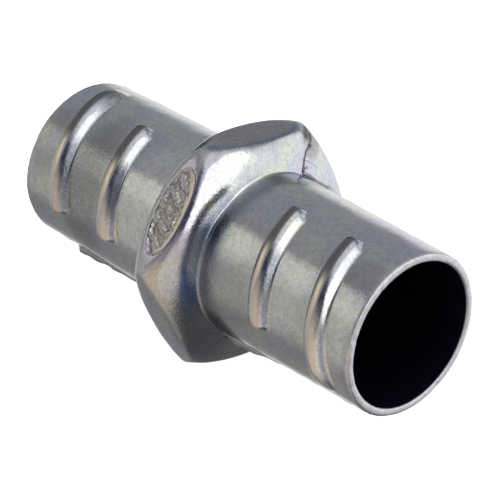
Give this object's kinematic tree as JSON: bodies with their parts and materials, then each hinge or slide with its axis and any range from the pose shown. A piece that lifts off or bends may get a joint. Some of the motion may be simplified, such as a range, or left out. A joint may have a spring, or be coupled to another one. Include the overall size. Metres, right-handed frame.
{
  "type": "conduit coupling",
  "caption": "Straight die-cast coupling for flexible metal conduit: hexagonal wrench collar between sleeves with helical screw-in ribs and a through bore.",
  "frame": {"origin": "on the bore's axis, in the middle plane of the wrench collar", "axes": "+X along the bore, +Z out through one wrench flat, +Y towards the collar corner between two back flats"},
  "size_m": [0.056, 0.0312, 0.0278],
  "materials": {
    "zinc": "satin as-cast zinc"
  },
  "bodies": {
    "root": {"coupling_body": "zinc"}
  },
  "joints": []
}
